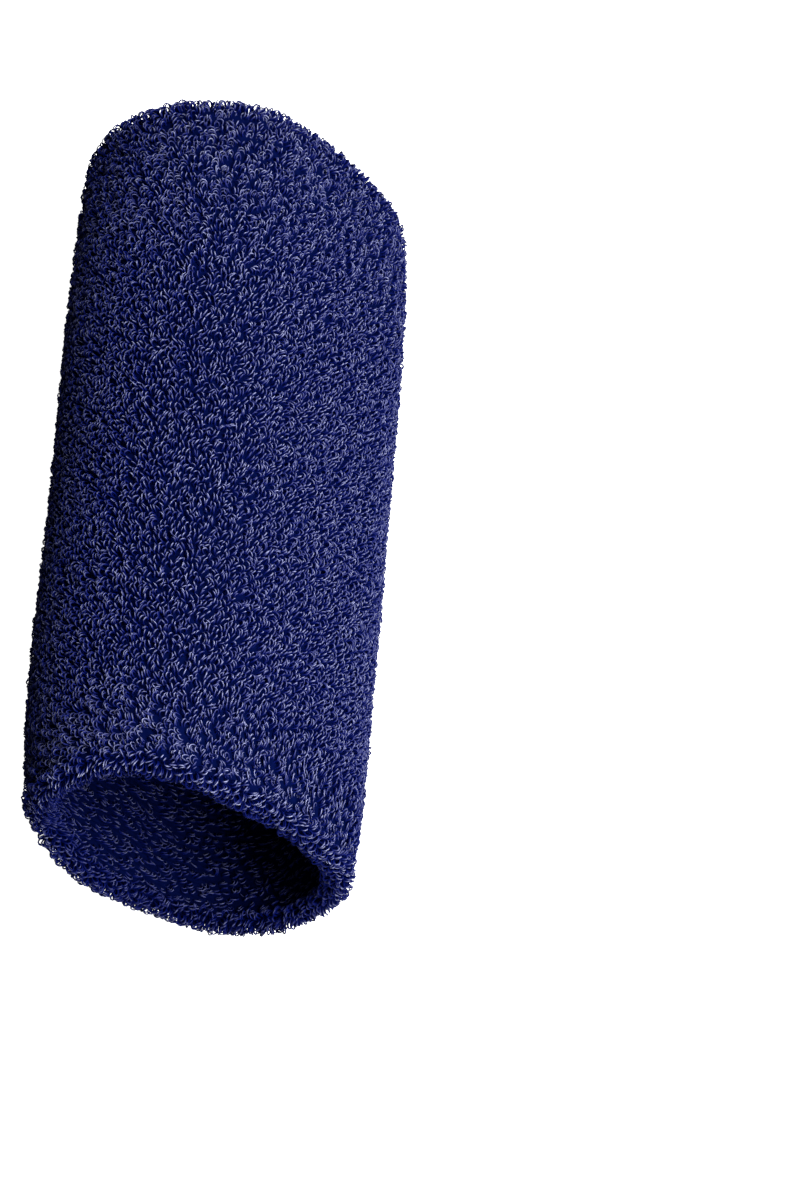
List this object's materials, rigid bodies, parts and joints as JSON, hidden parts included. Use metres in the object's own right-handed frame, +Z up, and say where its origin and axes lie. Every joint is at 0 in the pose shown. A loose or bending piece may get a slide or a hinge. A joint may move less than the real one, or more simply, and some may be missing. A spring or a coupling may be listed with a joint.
{
  "type": "sweat wristband",
  "caption": "Long terry sweat wristband: a doubled, elastic knitted tube with folded rims and looped pile inside and out, lying on its side.",
  "frame": {"origin": "under the middle of the band, on the surface that it lies on", "axes": "+Y runs through the wrist opening from the near rim to the far rim, which is the end with the closing seam; +X is across the width; +Z is up"},
  "size_m": [0.072, 0.15, 0.05],
  "materials": {
    "terry_yarn": "soft looped navy cotton pile",
    "ground_knit": "flat knit in dark navy",
    "elastic_thread": "covered elastic, matte",
    "seam_thread": "overlocked navy thread"
  },
  "bodies": {
    "root": {"outer_terry_face": "terry_yarn", "outer_ground_knit": "ground_knit", "outer_elastic_threads": "elastic_thread", "inner_elastic_threads": "elastic_thread", "inner_ground_near": "ground_knit", "inner_ground_far": "ground_knit", "inner_terry_near": "terry_yarn", "inner_terry_far": "terry_yarn", "near_rim_terry": "terry_yarn", "near_rim_ground": "ground_knit", "far_rim_terry": "terry_yarn", "far_rim_ground": "ground_knit", "seam_allowance": "ground_knit", "seam_stitches": "seam_thread"}
  },
  "joints": []
}
